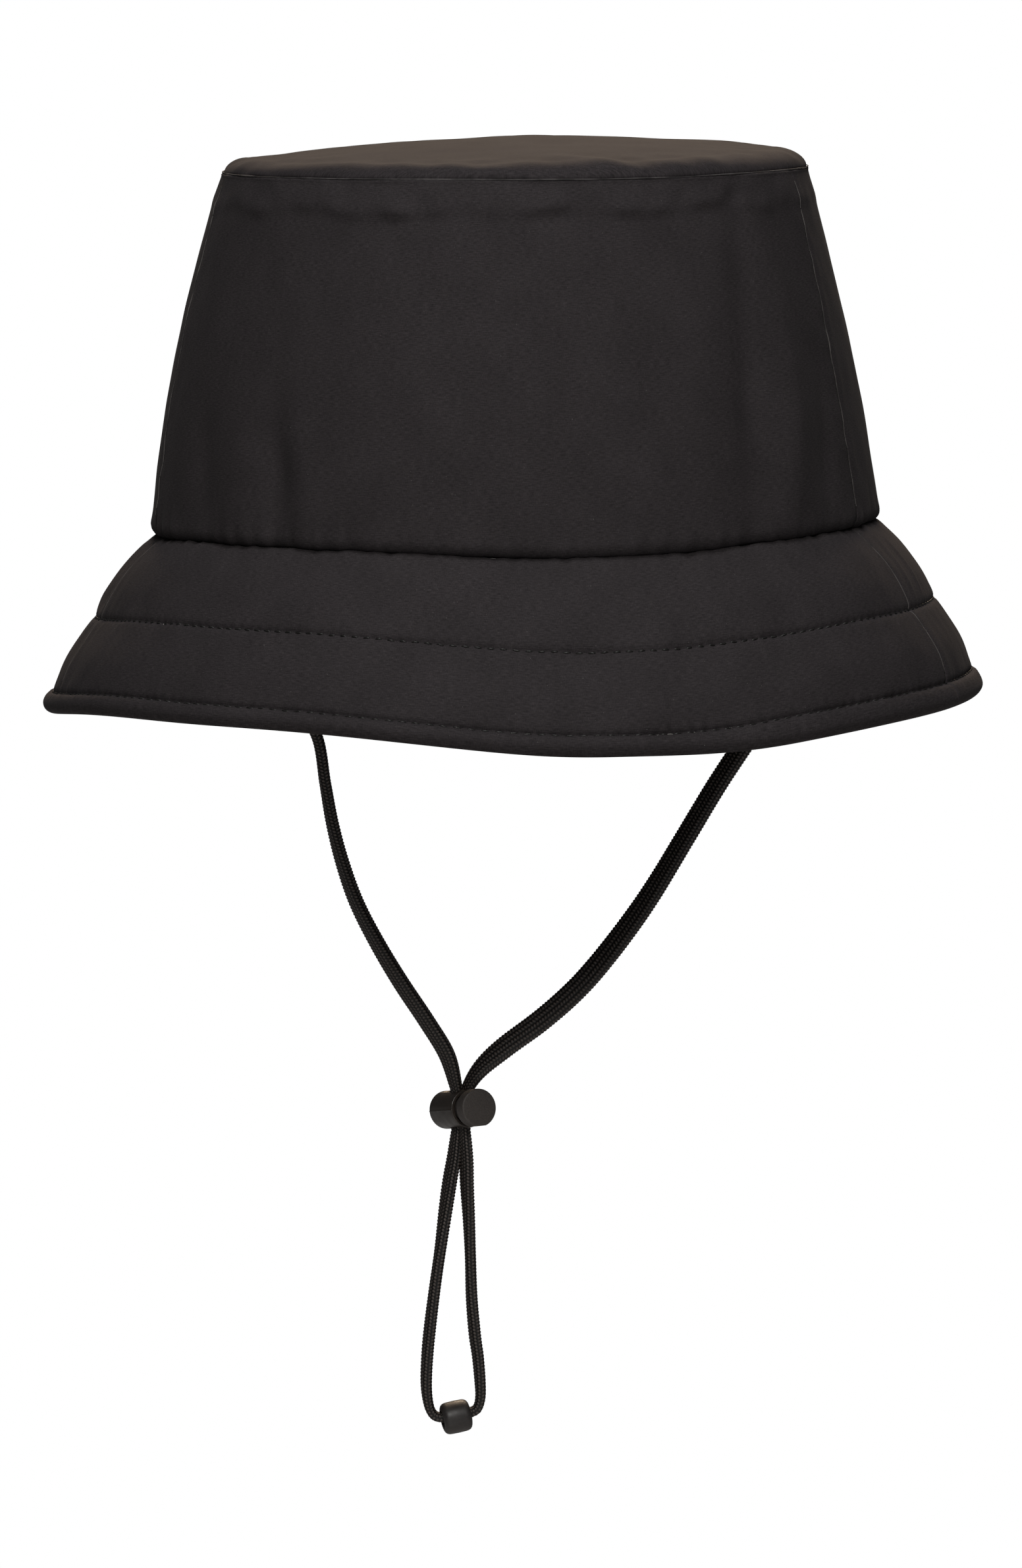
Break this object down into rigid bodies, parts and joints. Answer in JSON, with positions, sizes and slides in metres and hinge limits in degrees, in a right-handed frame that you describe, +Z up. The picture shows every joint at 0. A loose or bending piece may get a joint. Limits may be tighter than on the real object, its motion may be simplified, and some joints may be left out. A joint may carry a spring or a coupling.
{
  "type": "bucket hat with chin cord",
  "caption": "Soft bucket hat with a padded, stitched brim, lining, sweatband and a flat chin cord with a spring cord lock and an end bead.",
  "frame": {"origin": "centre of the head opening, level with the seam between crown and brim", "axes": "+Z up out of the crown, the front of the hat towards -Y, the wearer's left towards +X"},
  "size_m": [0.2425, 0.2646, 0.3387],
  "materials": {
    "shell_fabric": "near-black matte softshell with a fine crosswise weave",
    "lining_fabric": "thin dark woven lining",
    "sweatband_fabric": "soft brushed dark sweatband",
    "brim_padding": "soft nonwoven padding",
    "tab_webbing": "black woven webbing",
    "cord_braid": "black flat braid",
    "bead_plastic": "black satin moulded plastic",
    "lock_plastic": "black satin moulded plastic",
    "button_plastic": "black moulded plastic with a fine grained face",
    "spring_steel": "bare spring wire"
  },
  "bodies": {
    "hat": {"crown_tip": "shell_fabric", "crown_side_front": "shell_fabric", "crown_side_back": "shell_fabric", "brim_top_front": "shell_fabric", "brim_top_back": "shell_fabric", "brim_under_front": "shell_fabric", "brim_under_back": "shell_fabric", "brim_padding": "brim_padding", "lining_tip": "lining_fabric", "lining_side_front": "lining_fabric", "lining_side_back": "lining_fabric", "sweatband": "sweatband_fabric", "cord_tab_left": "tab_webbing", "cord_tab_right": "tab_webbing"},
    "chin_cord": {"chin_cord_left": "cord_braid", "chin_cord_right": "cord_braid", "cord_loop_left": "cord_braid", "cord_loop_right": "cord_braid", "end_bead": "bead_plastic"},
    "cord_lock": {"cord_lock_barrel": "lock_plastic", "cord_lock_spring": "spring_steel"},
    "lock_button": {"cord_lock_plunger": "button_plastic"}
  },
  "joints": [
    {"name": "chin_cord_swing", "type": "hinge", "parent": "hat", "child": "chin_cord", "pos_m": [0, 0, -0.0038], "axis": [1, 0, 0], "range_deg": [-60, 60]},
    {"name": "cord_lock_slide", "type": "slide", "parent": "chin_cord", "child": "cord_lock", "axis": [0, 0, 1], "range_m": [-0.05, 0.085], "deforming": ["chin_cord_left", "chin_cord_right", "cord_loop_left", "cord_loop_right"]},
    {"name": "lock_button_press", "type": "slide", "parent": "cord_lock", "child": "lock_button", "axis": [-0.4743, 0.8663, -0.1564], "range_m": [0, 0.0024], "stiffness_N_per_m": 1200, "springref_m": -0.002, "deforming": ["cord_lock_spring"]}
  ]
}
